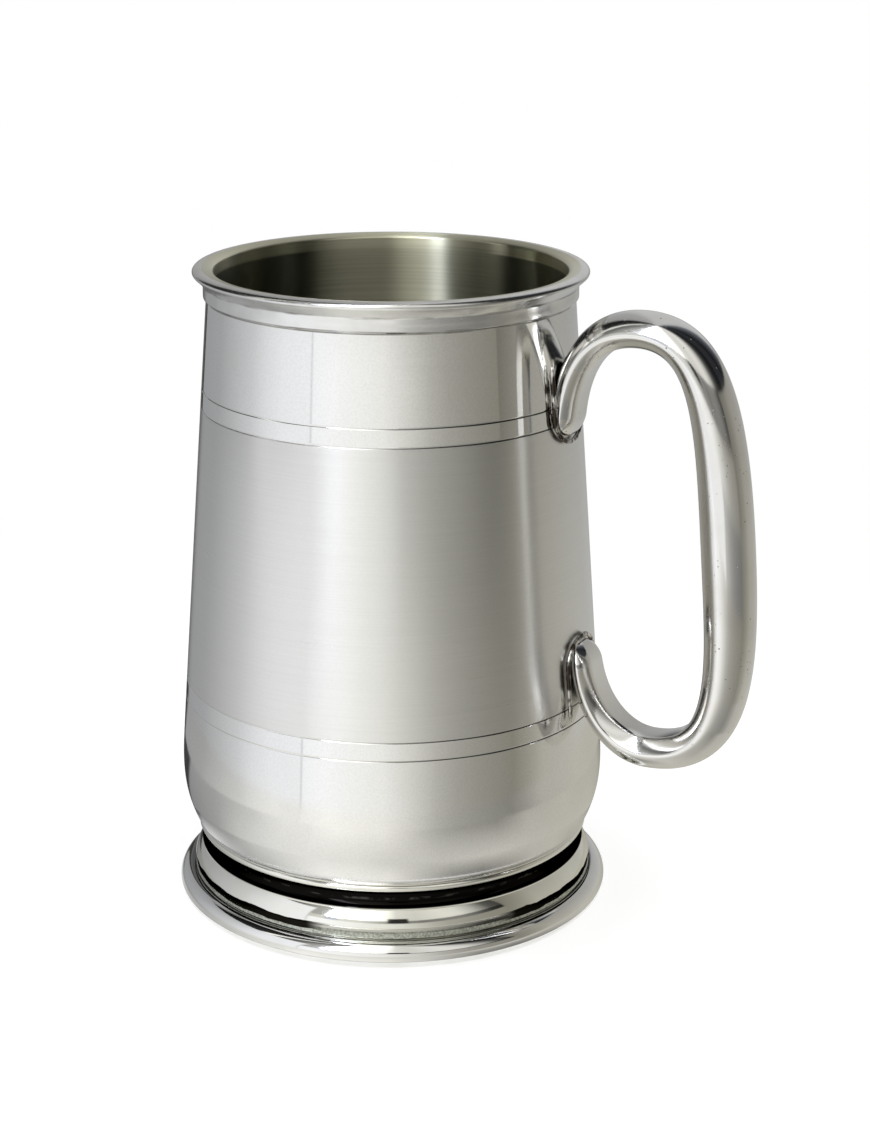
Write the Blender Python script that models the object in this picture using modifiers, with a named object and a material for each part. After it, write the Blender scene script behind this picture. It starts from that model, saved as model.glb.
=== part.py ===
"""A lidless pewter tankard: a tapered drum with a low belly, a flared rim mount soldered over its
top, a moulded foot with a round base bead, a soldered-in floor and a cast handle.

Metres, +Z up. The origin is the centre of the footprint on the resting plane, and the handle
points along +X. Every piece is modelled about the drum's axis and hangs on one empty, which
shifts that axis so that the footprint is centred.
"""

import math

import bmesh
import bpy
from mathutils import Vector

# Gap between pieces that touch
GAP = 0.0003

# Base bead: the round wire that the tankard stands on
BEAD_RADIUS = 0.0027
BEAD_SPREAD = 0.0016
BEAD_FLAT_WIDTH = 0.0016

# Foot ring, from the base bead up, with radii measured from the drum's lower edge
COVE_HEIGHT = 0.0012
FOOT_BEAD_HEIGHT = 0.0041
FOOT_BEAD_PROUD = 0.0010
FOOT_SLOPE_RADIUS = 0.0090
FOOT_SLOPE_TOP_ANGLE = 40
FOOT_SLOPE_LOW_ANGLE = 18
FOOT_EDGE_RADIUS = 0.0004
FOOT_EDGE_ANGLE = -60
FOOT_STEP_HEIGHT = 0.0006
FOOT_STEP_INSET = 0.0005
GROOVE_HEIGHT = 0.0034
GROOVE_DEPTH = 0.0012
NECK_RING_HEIGHT = 0.0015
FOOT_SKIRT_WALL = 0.0019
FOOT_SKIRT_LIFT = 0.0015
LEDGE_WIDTH = 0.0020
LEDGE_THICKNESS = 0.0014

# Drum
DRUM_HEIGHT = 0.1132
DRUM_WALL = 0.0013
DRUM_TOP_RADIUS = 0.0367
DRUM_FOOT_RADIUS = 0.0409
BELLY_RADIUS = 0.0439
BELLY_HEIGHT = 0.0132
BELLY_SOFTNESS = 0.0025
TUCK_POWER = 2.4

# Scribed lines: a pair below the drum's top and a pair above its belly
LINE_WIDTH = 0.0004
LINE_DEPTH = 0.00025
LINE_SPACING = 0.0037
UPPER_LINES_DROP = 0.0212
LOWER_LINES_RISE = 0.0138

# Rim mount, with the lip's drops measured from its crown and the root's from its seat
LIP_OVERHANG = 0.0021
LIP_HEIGHT = 0.0027
LIP_CROWN_INSET = 0.0014
LIP_EDGE_DROP = 0.0009
LIP_EDGE_ANGLE = -40
LIP_BORE_DROP = 0.0009
LIP_ROOT_DROP = 0.0006
RIM_SKIRT_WALL = 0.0010
RIM_SKIRT_DROP = 0.0030
RIM_SKIRT_EASE = 0.0004
RIM_REBATE = 0.0005

# Floor and its solder seams
FLOOR_THICKNESS = 0.0015
FLOOR_EDGE_EASE = 0.0003
SEAM_LEG = 0.0012

# Upper half of the handle's path: drops below the drum's top, reaches out from the wall at the tip
TIP_DROP = 0.0275
TIP_SINK = 0.0003
ARCH_DROP = 0.0049
ARCH_REACH = 0.0151
GRIP_DROP = 0.0479
GRIP_REACH = 0.0343
GRIP_LEAN = 0.08

# Lower half: heights above the drum's lower edge, reaches out from the wall at the heel
BEND_HEIGHT = 0.0229
BEND_REACH = 0.0160
HEEL_HEIGHT = 0.0434
HEEL_REACH = 0.0014
HEEL_LEAN = 0.02

# How full each stretch of the path is, where it leaves one knot and where it meets the next
TIP_TO_ARCH = (0.71, 0.57)
ARCH_TO_GRIP = (0.75, 0.60)
GRIP_TO_BEND = (0.57, 1.18)
BEND_TO_HEEL = (0.47, 0.65)

# Handle section, with the thickness at each knot of the path
HANDLE_WIDTH = 0.0116
INNER_FACE_WIDTH = 0.0060
TIP_THICKNESS = 0.0056
ARCH_THICKNESS = 0.0068
GRIP_THICKNESS = 0.0099
BEND_THICKNESS = 0.0071
HEEL_THICKNESS = 0.0046
WIDEST_POINT = 0.15
CREASE_ANGLE = 60
END_ROUNDING = 0.0046
END_BLUNTNESS = 0.40

# Handle solder
SOLDER_RADIUS = 0.0005
SOLDER_LENGTH = 0.0150

# Facets
RING_STEPS = 48
BEAD_STEPS = 13
NECK_STEPS = 4
GROOVE_STEPS = 6
FOOT_SLOPE_STEPS = 4
FOOT_EDGE_STEPS = 2
BELLY_STEPS = 10
LIP_STEPS = 4
FLARE_STEPS = 6
STRETCH_STEPS = 12
END_CROWDING = 1.7
OUTER_STEPS = 8
FLANK_STEPS = 2
SOLDER_STEPS = 6
SHARP_ANGLE = 35

# Finishes: colour, roughness
POLISHED_PEWTER = ((0.60, 0.59, 0.57, 1.0), 0.12)
SATIN_PEWTER = ((0.52, 0.51, 0.48, 1.0), 0.32)
DULL_PEWTER = ((0.42, 0.42, 0.39, 1.0), 0.45)
SOLDER_METAL = ((0.38, 0.37, 0.35, 1.0), 0.50)

# Heights above the resting plane that follow from the sizes above
BEAD_CENTRE_Z = math.sqrt(BEAD_RADIUS**2 - (BEAD_FLAT_WIDTH / 2) ** 2)
COVE_BASE_Z = BEAD_CENTRE_Z + BEAD_RADIUS + GAP
FOOT_BEAD_BASE_Z = COVE_BASE_Z + COVE_HEIGHT
FOOT_STEP_Z = FOOT_BEAD_BASE_Z + FOOT_BEAD_HEIGHT
GROOVE_BASE_Z = FOOT_STEP_Z + FOOT_STEP_HEIGHT
NECK_RING_Z = GROOVE_BASE_Z + GROOVE_HEIGHT
FOOT_TOP_Z = NECK_RING_Z + NECK_RING_HEIGHT
DRUM_BASE_Z = FOOT_TOP_Z + GAP
DRUM_TOP_Z = DRUM_BASE_Z + DRUM_HEIGHT
BELLY_Z = DRUM_BASE_Z + BELLY_HEIGHT
RIM_SEAT_Z = DRUM_TOP_Z + GAP
RIM_SKIRT_Z = DRUM_TOP_Z - RIM_SKIRT_DROP
TIP_Z = DRUM_TOP_Z - TIP_DROP
HEEL_Z = DRUM_BASE_Z + HEEL_HEIGHT

# Radii that follow from the sizes above
BEAD_CENTRE_RADIUS = DRUM_FOOT_RADIUS + BEAD_SPREAD
FOOT_BEAD_OUTER_RADIUS = DRUM_FOOT_RADIUS + FOOT_BEAD_PROUD
FOOT_SKIRT_RADIUS = BEAD_CENTRE_RADIUS - BEAD_RADIUS - GAP
FOOT_BORE_RADIUS = FOOT_SKIRT_RADIUS - FOOT_SKIRT_WALL
LEDGE_RADIUS = FOOT_BORE_RADIUS - LEDGE_WIDTH
REBATE_RADIUS = DRUM_TOP_RADIUS - RIM_REBATE
DRUM_BORE_TOP_RADIUS = DRUM_TOP_RADIUS - DRUM_WALL
RIM_SKIRT_BORE_RADIUS = REBATE_RADIUS + GAP
RIM_SKIRT_RADIUS = RIM_SKIRT_BORE_RADIUS + RIM_SKIRT_WALL
LIP_RADIUS = RIM_SKIRT_RADIUS + LIP_OVERHANG
LIP_CROWN_RADIUS = LIP_RADIUS - LIP_CROWN_INSET


def drum_radius(z):
    """The drum's outer radius: a straight taper above the belly, a round tuck below it."""
    if z >= BELLY_Z:
        rise = math.hypot(z - BELLY_Z, BELLY_SOFTNESS) - BELLY_SOFTNESS
        full_rise = math.hypot(DRUM_TOP_Z - BELLY_Z, BELLY_SOFTNESS) - BELLY_SOFTNESS
        return BELLY_RADIUS - (BELLY_RADIUS - DRUM_TOP_RADIUS) * rise / full_rise
    drop = (BELLY_Z - z) / BELLY_HEIGHT
    return BELLY_RADIUS - (BELLY_RADIUS - DRUM_FOOT_RADIUS) * drop**TUCK_POWER


def ellipse_arc(centre_r, centre_z, radius_r, radius_z, start, end, steps):
    """Points (r, z) along an ellipse from one angle to another, in degrees from +r towards +z."""
    points = []
    for step in range(steps + 1):
        angle = math.radians(start + (end - start) * step / steps)
        points.append((centre_r + radius_r * math.cos(angle), centre_z + radius_z * math.sin(angle)))
    return points


def blend(start, end, share):
    """A smooth change from start to end as share goes from 0 to 1."""
    return start + (end - start) * share * share * (3 - 2 * share)


def base_bead_profile():
    """A round wire with a narrow flat under it."""
    tilt = math.degrees(math.asin(BEAD_FLAT_WIDTH / 2 / BEAD_RADIUS))
    centre = (BEAD_CENTRE_RADIUS, BEAD_CENTRE_Z)
    return ellipse_arc(*centre, BEAD_RADIUS, BEAD_RADIUS, 270 - tilt, -90 + tilt, BEAD_STEPS)


def foot_ring_profile():
    """Neck ring, groove, step, swelling slope and cove outside, a plain skirt and ledge inside."""
    neck_half = NECK_RING_HEIGHT / 2
    neck_root = DRUM_FOOT_RADIUS - neck_half
    groove_half = GROOVE_HEIGHT / 2
    groove_z = GROOVE_BASE_Z + groove_half
    neck = ellipse_arc(neck_root, NECK_RING_Z + neck_half, neck_half, neck_half, 90, -90, NECK_STEPS)
    groove = ellipse_arc(neck_root, groove_z, GROOVE_DEPTH, groove_half, 90, 270, GROOVE_STEPS)
    step_radius = DRUM_FOOT_RADIUS - FOOT_STEP_INSET
    step = [(step_radius, GROOVE_BASE_Z), (step_radius, FOOT_STEP_Z)]
    slope_angles = (FOOT_SLOPE_TOP_ANGLE, FOOT_SLOPE_LOW_ANGLE)
    edge_r = FOOT_BEAD_OUTER_RADIUS - FOOT_EDGE_RADIUS
    spread = FOOT_SLOPE_RADIUS - FOOT_EDGE_RADIUS
    top_turn = math.radians(FOOT_SLOPE_TOP_ANGLE)
    low_turn = math.radians(FOOT_SLOPE_LOW_ANGLE)
    slope_z = FOOT_STEP_Z - FOOT_SLOPE_RADIUS * math.sin(top_turn)
    edge_z = slope_z + spread * math.sin(low_turn)
    slope_r = edge_r - spread * math.cos(low_turn)
    slope_radii = (FOOT_SLOPE_RADIUS, FOOT_SLOPE_RADIUS)
    edge_radii = (FOOT_EDGE_RADIUS, FOOT_EDGE_RADIUS)
    slope = ellipse_arc(slope_r, slope_z, *slope_radii, *slope_angles, FOOT_SLOPE_STEPS)
    edge_angles = (FOOT_SLOPE_LOW_ANGLE, FOOT_EDGE_ANGLE)
    edge = ellipse_arc(edge_r, edge_z, *edge_radii, *edge_angles, FOOT_EDGE_STEPS)
    cove = [(edge[-1][0], FOOT_BEAD_BASE_Z), (FOOT_BEAD_OUTER_RADIUS, COVE_BASE_Z)]
    inside = [
        (FOOT_SKIRT_RADIUS, COVE_BASE_Z),
        (FOOT_SKIRT_RADIUS, FOOT_SKIRT_LIFT),
        (FOOT_BORE_RADIUS, FOOT_SKIRT_LIFT),
        (FOOT_BORE_RADIUS, FOOT_TOP_Z - LEDGE_THICKNESS - LEDGE_WIDTH / 2),
        (LEDGE_RADIUS, FOOT_TOP_Z - LEDGE_THICKNESS),
        (LEDGE_RADIUS, FOOT_TOP_Z),
    ]
    return neck + groove[1:-1] + step + slope + edge[1:] + cove + inside


def scribed_line(z):
    """A V-shaped line cut round the drum at this height, top edge first."""
    return [
        (drum_radius(z + LINE_WIDTH / 2), z + LINE_WIDTH / 2),
        (drum_radius(z) - LINE_DEPTH, z),
        (drum_radius(z - LINE_WIDTH / 2), z - LINE_WIDTH / 2),
    ]


def drum_profile():
    """The outside down from the rebate under the rim mount, then the bore back up."""
    shoulder_z = RIM_SKIRT_Z - GAP
    outside = [(REBATE_RADIUS, DRUM_TOP_Z), (REBATE_RADIUS, shoulder_z)]
    outside.append((drum_radius(shoulder_z), shoulder_z))
    upper = DRUM_TOP_Z - UPPER_LINES_DROP - LINE_SPACING
    lower = BELLY_Z + LOWER_LINES_RISE + LINE_SPACING
    outside += scribed_line(upper + LINE_SPACING) + scribed_line(upper)
    middle = (upper + lower) / 2
    outside.append((drum_radius(middle), middle))
    outside += scribed_line(lower) + scribed_line(lower - LINE_SPACING)
    straight_z = BELLY_Z + 3 * BELLY_SOFTNESS
    fall = straight_z - DRUM_BASE_Z
    heights = [straight_z - fall * step / BELLY_STEPS for step in range(BELLY_STEPS + 1)]
    outside += [(drum_radius(z), z) for z in heights]
    bore = [(drum_radius(z) - DRUM_WALL, z) for z in reversed(heights[::2])]
    bore += [(drum_radius(upper) - DRUM_WALL, upper), (DRUM_BORE_TOP_RADIUS, DRUM_TOP_Z)]
    return outside + bore


def rim_mount_profile():
    """The crown and the lip's rounded edge, its slanted underside and the skirt, then the bore."""
    top_z = RIM_SEAT_Z + LIP_HEIGHT
    lip_angles = (90, LIP_EDGE_ANGLE)
    lip_z = top_z - LIP_EDGE_DROP
    lip = ellipse_arc(LIP_CROWN_RADIUS, lip_z, LIP_CROWN_INSET, LIP_EDGE_DROP, *lip_angles, LIP_STEPS)
    skirt = [
        (RIM_SKIRT_RADIUS, RIM_SEAT_Z - LIP_ROOT_DROP),
        (RIM_SKIRT_RADIUS, RIM_SKIRT_Z + RIM_SKIRT_EASE),
        (RIM_SKIRT_RADIUS - RIM_SKIRT_EASE, RIM_SKIRT_Z),
        (RIM_SKIRT_BORE_RADIUS, RIM_SKIRT_Z),
        (RIM_SKIRT_BORE_RADIUS, RIM_SEAT_Z),
        (DRUM_BORE_TOP_RADIUS, RIM_SEAT_Z),
    ]
    flare_z = top_z - LIP_BORE_DROP
    flare_width = LIP_CROWN_RADIUS - DRUM_BORE_TOP_RADIUS
    flare = ellipse_arc(LIP_CROWN_RADIUS, flare_z, flare_width, LIP_BORE_DROP, 180, 90, FLARE_STEPS)
    return lip + skirt + flare[:-1]


def floor_disc_profile():
    """A flat disc that rests on the foot ring's ledge, inside the drum."""
    bottom = DRUM_BASE_Z
    top = bottom + FLOOR_THICKNESS
    radius = drum_radius(bottom) - DRUM_WALL - GAP
    return [
        (0, top),
        (radius - FLOOR_EDGE_EASE, top),
        (radius, top - FLOOR_EDGE_EASE),
        (radius, bottom),
        (0, bottom),
    ]


def floor_seam_profile():
    """The fillet of solder in the corner between the floor and the drum's bore."""
    base = DRUM_BASE_Z + FLOOR_THICKNESS + GAP
    top = base + SEAM_LEG
    base_radius = drum_radius(base) - DRUM_WALL - GAP
    top_radius = drum_radius(top) - DRUM_WALL - GAP
    return [(top_radius, top), (base_radius, base), (base_radius - SEAM_LEG, base)]


def foot_seam_profile():
    """The fillet of solder in the corner between the floor's underside and the ledge's bore."""
    top = DRUM_BASE_Z - GAP
    radius = LEDGE_RADIUS - GAP
    return [(radius, top), (radius, top - SEAM_LEG), (radius - SEAM_LEG, top)]


def pewter(name, finish):
    """A metal material of this colour and roughness."""
    colour, roughness = finish
    material = bpy.data.materials.new(name)
    material.use_nodes = True
    shader = material.node_tree.nodes["Principled BSDF"]
    shader.inputs["Base Color"].default_value = colour
    shader.inputs["Metallic"].default_value = 1.0
    shader.inputs["Roughness"].default_value = roughness
    material.diffuse_color = colour
    return material


def add_piece(name, data, parts, axis, finish):
    """Puts a new object of this data in the collection, hung on the drum's axis."""
    piece = bpy.data.objects.new(name, data)
    data.materials.append(pewter(name, finish))
    piece.parent = axis
    parts.objects.link(piece)
    return piece


def add_turned(name, profile, closed, parts, axis, finish):
    """A piece turned about the drum's axis from a profile of (r, z) points."""
    mesh = bpy.data.meshes.new(name)
    edges = [(i, i + 1) for i in range(len(profile) - 1)]
    if closed:
        edges.append((len(profile) - 1, 0))
    mesh.from_pydata([(r, 0, z) for r, z in profile], edges, [])
    piece = add_piece(name, mesh, parts, axis, finish)
    screw = piece.modifiers.new("Turn", "SCREW")
    screw.axis = "Z"
    screw.angle = 2 * math.pi
    screw.steps = RING_STEPS
    screw.render_steps = RING_STEPS
    screw.use_merge_vertices = True
    screw.merge_threshold = 0.00002
    screw.use_smooth_shade = True


def handle_knots():
    """The path's knots, each as a point and a heading in the (r, z) plane, from tip to heel."""
    upper_wall = drum_radius(TIP_Z)
    lower_wall = drum_radius(HEEL_Z)
    return [
        (Vector((upper_wall - TIP_SINK, TIP_Z)), Vector((0, 1))),
        (Vector((upper_wall + ARCH_REACH, DRUM_TOP_Z - ARCH_DROP)), Vector((1, 0))),
        (
            Vector((upper_wall + GRIP_REACH, DRUM_TOP_Z - GRIP_DROP)),
            Vector((math.sin(GRIP_LEAN), -math.cos(GRIP_LEAN))),
        ),
        (Vector((lower_wall + BEND_REACH, DRUM_BASE_Z + BEND_HEIGHT)), Vector((-1, 0))),
        (
            Vector((lower_wall + HEEL_REACH, HEEL_Z)),
            Vector((-math.sin(HEEL_LEAN), math.cos(HEEL_LEAN))),
        ),
    ]


def bezier(start, start_pull, end_pull, end, share):
    """The point this share of the way along a Bezier stretch."""
    rest = 1 - share
    near = start * rest**3 + start_pull * 3 * rest * rest * share
    return near + end_pull * 3 * rest * share * share + end * share**3


def handle_path():
    """Centres (r, z) and half thicknesses along the path, closer together near its two ends."""
    knots = handle_knots()
    thicknesses = (TIP_THICKNESS, ARCH_THICKNESS, GRIP_THICKNESS, BEND_THICKNESS, HEEL_THICKNESS)
    fullness = (TIP_TO_ARCH, ARCH_TO_GRIP, GRIP_TO_BEND, BEND_TO_HEEL)
    last = len(fullness) - 1
    centres = [knots[0][0]]
    halves = [thicknesses[0] / 2]
    for index, (leaving, meeting) in enumerate(fullness):
        start, start_heading = knots[index]
        end, end_heading = knots[index + 1]
        start_pull = start + leaving * abs((end - start).dot(start_heading)) * start_heading
        end_pull = end - meeting * abs((end - start).dot(end_heading)) * end_heading
        for step in range(1, STRETCH_STEPS + 1):
            share = step / STRETCH_STEPS
            if index == 0:
                share = share**END_CROWDING
            elif index == last:
                share = 1 - (1 - share) ** END_CROWDING
            centres.append(bezier(start, start_pull, end_pull, end, share))
            halves.append(blend(thicknesses[index], thicknesses[index + 1], share) / 2)
    return centres, halves


def rounding(distance):
    """The share of its full size that a section has this far from a rounded end."""
    if distance >= END_ROUNDING:
        return 1
    short = 1 - distance / END_ROUNDING
    return math.sqrt(1 - short * short * (1 - END_BLUNTNESS**2))


def handle_section(half_thickness, size):
    """The D-shaped section as (outward, sideways) points: round outside, flat inner face."""
    half_width = HANDLE_WIDTH / 2 * size
    half_face = INNER_FACE_WIDTH / 2 * size
    widest = -WIDEST_POINT * half_thickness
    crease = math.radians(CREASE_ANGLE)
    outer = []
    for step in range(OUTER_STEPS + 1):
        angle = math.pi * step / OUTER_STEPS
        outward = widest + (half_thickness - widest) * math.sin(angle)
        outer.append((outward, half_width * math.cos(angle)))
    flank = []
    for step in range(1, FLANK_STEPS + 1):
        angle = crease * step / FLANK_STEPS
        outward = widest - (half_thickness + widest) * math.sin(angle) / math.sin(crease)
        narrowing = (1 - math.cos(angle)) / (1 - math.cos(crease))
        flank.append((outward, half_width - (half_width - half_face) * narrowing))
    far_flank = [(outward, -sideways) for outward, sideways in flank]
    return outer + far_flank + [(-half_thickness, 0)] + flank[::-1]


def seated(x, y, z):
    """The point, moved out along its radius where it would lie inside the drum's wall."""
    reach = math.hypot(x, y)
    least = drum_radius(z) + GAP
    if DRUM_BASE_Z <= z <= DRUM_TOP_Z and reach < least:
        return (x * least / reach, y * least / reach, z)
    return (x, y, z)


def handle_rings():
    """One ring of points for each centre, smaller near the ends, where the heel keeps to the wall."""
    centres, halves = handle_path()
    lengths = [(far - near).length for near, far in zip(centres, centres[1:])]
    rings = []
    for index, (centre, half_thickness) in enumerate(zip(centres, halves)):
        before = centres[max(index - 1, 0)]
        after = centres[min(index + 1, len(centres) - 1)]
        along = (after - before).normalized()
        outward = Vector((-along[1], along[0]))
        heel_size = rounding(sum(lengths[index:]))
        size = rounding(sum(lengths[:index])) * heel_size
        middle = centre + outward * half_thickness * (1 - heel_size)
        ring = []
        for across, sideways in handle_section(half_thickness * size, size):
            point = middle + outward * across
            ring.append(seated(point[0], sideways, point[1]))
        rings.append(ring)
    return rings


def handle_mesh(rings):
    """The rings joined one to the next, with a cap at each end."""
    mesh = bpy.data.meshes.new("handle")
    shape = bmesh.new()
    loops = [[shape.verts.new(point) for point in ring] for ring in rings]
    count = len(loops[0])
    for near, far in zip(loops, loops[1:]):
        for i in range(count):
            j = (i + 1) % count
            shape.faces.new((near[i], near[j], far[j], far[i]))
    shape.faces.new(loops[0][::-1])
    shape.faces.new(loops[-1])
    bmesh.ops.recalc_face_normals(shape, faces=shape.faces)
    shape.to_mesh(mesh)
    shape.free()
    mesh.shade_smooth()
    mesh.set_sharp_from_angle(angle=math.radians(SHARP_ANGLE))
    return mesh


def add_solder(name, points, parts, axis):
    """A run of solder along the joint between the handle and the drum."""
    curve = bpy.data.curves.new(name, "CURVE")
    curve.dimensions = "3D"
    curve.bevel_depth = SOLDER_RADIUS
    curve.bevel_resolution = 2
    curve.use_fill_caps = True
    spline = curve.splines.new("POLY")
    spline.points.add(len(points) - 1)
    for target, point in zip(spline.points, points):
        target.co = (*point, 1)
    add_piece(name, curve, parts, axis, SOLDER_METAL)


def on_wall(side, z):
    """A point where solder lies against the drum, this far to the side of the handle's plane."""
    reach = drum_radius(z) + GAP + SOLDER_RADIUS
    return (math.sqrt(reach**2 - side**2), side, z)


def solder_points(end_z, inward):
    """Along one side of an end of the handle, round that end and back along the other side.

    inward is 1 where the handle runs up from this end and -1 where it runs down from it.
    """
    clear = GAP + SOLDER_RADIUS
    side = HANDLE_WIDTH / 2 + clear
    end_share = HANDLE_WIDTH / 2 * END_BLUNTNESS / side
    turn_z = end_z + inward * END_ROUNDING
    turn_drop = inward * (END_ROUNDING + clear) / math.sqrt(1 - end_share**2)
    run = inward * (SOLDER_LENGTH - END_ROUNDING)
    straight = [turn_z + run * (1 - step / SOLDER_STEPS) for step in range(SOLDER_STEPS)]
    points = [on_wall(side, z) for z in straight]
    for step in range(2 * SOLDER_STEPS + 1):
        angle = math.pi / 2 * step / SOLDER_STEPS
        points.append(on_wall(side * math.cos(angle), turn_z - turn_drop * math.sin(angle)))
    points += [on_wall(-side, z) for z in reversed(straight)]
    return points


def main():
    for leftover in list(bpy.data.objects):
        bpy.data.objects.remove(leftover)
    scene = bpy.context.scene
    parts = bpy.data.collections.new("tankard")
    scene.collection.children.link(parts)

    rings = handle_rings()
    handle_reach = max(x for ring in rings for x, _, _ in ring)
    foot_reach = BEAD_CENTRE_RADIUS + BEAD_RADIUS
    axis = bpy.data.objects.new("drum_axis", None)
    axis.location = ((foot_reach - handle_reach) / 2, 0, 0)
    parts.objects.link(axis)

    add_turned("drum", drum_profile(), True, parts, axis, SATIN_PEWTER)
    add_turned("rim_mount", rim_mount_profile(), True, parts, axis, POLISHED_PEWTER)
    add_turned("floor_disc", floor_disc_profile(), False, parts, axis, DULL_PEWTER)
    add_turned("foot_ring", foot_ring_profile(), True, parts, axis, POLISHED_PEWTER)
    add_turned("base_bead", base_bead_profile(), True, parts, axis, POLISHED_PEWTER)
    add_turned("floor_solder_seam", floor_seam_profile(), True, parts, axis, SOLDER_METAL)
    add_turned("foot_solder_seam", foot_seam_profile(), True, parts, axis, SOLDER_METAL)
    add_piece("handle", handle_mesh(rings), parts, axis, POLISHED_PEWTER)
    add_solder("upper_handle_solder", solder_points(TIP_Z, 1), parts, axis)
    add_solder("lower_handle_solder", solder_points(HEEL_Z, -1), parts, axis)


main()
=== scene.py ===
import math

import bpy
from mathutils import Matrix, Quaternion, Vector


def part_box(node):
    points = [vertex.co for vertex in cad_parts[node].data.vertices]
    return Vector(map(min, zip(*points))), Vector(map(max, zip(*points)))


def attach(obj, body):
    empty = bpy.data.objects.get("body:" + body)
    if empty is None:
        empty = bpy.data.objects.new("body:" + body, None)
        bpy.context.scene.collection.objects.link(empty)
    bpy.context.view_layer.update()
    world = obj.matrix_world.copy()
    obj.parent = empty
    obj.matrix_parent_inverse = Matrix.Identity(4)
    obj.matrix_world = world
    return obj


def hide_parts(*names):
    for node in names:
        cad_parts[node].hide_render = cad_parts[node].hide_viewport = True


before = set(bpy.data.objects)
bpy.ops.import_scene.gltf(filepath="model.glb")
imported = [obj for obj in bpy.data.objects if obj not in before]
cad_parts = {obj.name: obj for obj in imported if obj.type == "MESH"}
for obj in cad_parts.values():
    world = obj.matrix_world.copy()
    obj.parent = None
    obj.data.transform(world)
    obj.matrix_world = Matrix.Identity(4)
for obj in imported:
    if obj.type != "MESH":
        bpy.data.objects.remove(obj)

# A polished and satin pewter tankard on a white sweep, in a studio of soft panels.
# Metres, +Z up, the handle along +X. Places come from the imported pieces' boxes.

# The camera, measured from the drum's axis, with the handle turned a little towards it
HANDLE_TURN = math.radians(25.5)
CAMERA_SETBACK = 0.4883
CAMERA_SIDE = 0.0089
CAMERA_HEIGHT = 0.2231
CAMERA_PITCH = math.radians(17.4)
CAMERA_ROLL = 0.0029
CAMERA_LENS = 78.8
SENSOR_LONG_SIDE = 36.0

# Gap between pieces that touch, as in the frame
GAP = 0.0003

# Base bead and foot ring
BEAD_RADIUS = 0.0027
BEAD_FLAT_WIDTH = 0.0016
FOOT_BEAD_HEIGHT = 0.0041
FOOT_SLOPE_RADIUS = 0.0090
FOOT_SLOPE_TOP_ANGLE = 40
FOOT_SLOPE_LOW_ANGLE = 18
FOOT_EDGE_RADIUS = 0.0004
FOOT_EDGE_ANGLE = -60
COVE_HEIGHT = 0.0012
COVE_RISE = 0.0003
FOOT_STEP_HEIGHT = 0.0006
FOOT_STEP_INSET = 0.0005
FOOT_STEP_EASE = 0.00015
GROOVE_HEIGHT = 0.0034
GROOVE_DEPTH = 0.0012
NECK_RING_HEIGHT = 0.0015
NECK_RING_TOP_ANGLE = 62
FOOT_SKIRT_WALL = 0.0019
LEDGE_WIDTH = 0.0020
LEDGE_THICKNESS = 0.0014

# Drum
DRUM_WALL = 0.0013
DRUM_TOP_RADIUS = 0.0367
DRUM_FOOT_RADIUS = 0.0409
BELLY_HEIGHT = 0.0132
BELLY_SOFTNESS = 0.0025
TUCK_POWER = 2.4
DRUM_EDGE = 0.0002
LINE_WIDTH = 0.00035
LINE_DEPTH = 0.00007
LINE_SHOULDER = 0.45
LINE_SHOULDER_DEPTH = 0.75
LINE_SPACING = 0.0037
UPPER_LINES_DROP = 0.0212
LOWER_LINES_RISE = 0.0138

# Rim mount
LIP_CROWN_INSET = 0.0014
LIP_EDGE_DROP = 0.0009
LIP_EDGE_ANGLE = -40
LIP_BORE_DROP = 0.0009
LIP_ROOT_DROP = 0.0006
LIP_UNDERSIDE = (0.42, 0.50)
LIP_ROOT_HOLLOW = 0.0005
LIP_ROOT_CURVE = ((0.45, 0.45), (0.12, 0.1), (0.0, -0.3))
LIP_BORE_RISE = 0.0004
RIM_SKIRT_EASE = 0.0003
RIM_SKIRT_WALL = 0.0010
RIM_REBATE = 0.0005

# Floor
FLOOR_EDGE_EASE = 0.0003
FLOOR_RINGS = 5

# Handle path, as in the frame but for 0.01 mm less in the grip's reach
TIP_DROP = 0.0275
TIP_SINK = 0.0003
ARCH_DROP = 0.0049
ARCH_REACH = 0.0151
GRIP_DROP = 0.0479
GRIP_REACH = 0.03429
GRIP_LEAN = 0.08
BEND_HEIGHT = 0.0229
BEND_REACH = 0.0160
HEEL_HEIGHT = 0.0434
HEEL_REACH = 0.0014
HEEL_LEAN = 0.02
TIP_TO_ARCH = (0.71, 0.57)
ARCH_TO_GRIP = (0.75, 0.60)
GRIP_TO_BEND = (0.57, 1.18)
BEND_TO_HEEL = (0.47, 0.65)
HANDLE_WIDTH = 0.0116
INNER_FACE_WIDTH = 0.0060
THICKNESSES = (0.0056, 0.0068, 0.0099, 0.0071, 0.0046)
WIDEST_POINT = 0.15
FLANK_START = 0.3
CREASE_EASE = 0.08
CREASE_CORNER = ((0.992, 0.955), (1.0, 0.88))
END_ROUNDING = 0.0046
END_BLUNTNESS = 0.40

# Solder runs: size, then how the radius swells in two waves and tapers at either end
SOLDER_RADIUS = 0.0005
SOLDER_LENGTH = 0.0150
SOLDER_MEAN = 0.93
SOLDER_WAVES = ((0.05, 0.61, 0.0), (0.02, 1.93, 1.0))
SOLDER_TIP = 0.35
SOLDER_TAPER = 0.11

# Facets
RING_STEPS = 288
WALL_STEPS = (12, 3, 24, 3)
BELLY_STEPS = 56
BORE_STEPS = 60
ARC_STEPS = 28
SMALL_ARC_STEPS = 10
NECK_STEPS = 12
WIRE_STEPS = 72
STRETCH_STEPS = 48
END_CROWDING = 1.7
SECTION_STEPS = 28
FLANK_STEPS = 8
SOLDER_LEG_STEPS = 50
SOLDER_TURN_STEPS = 60
SOLDER_SIDES = 16
SHARP_ANGLE = math.radians(28)

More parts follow.
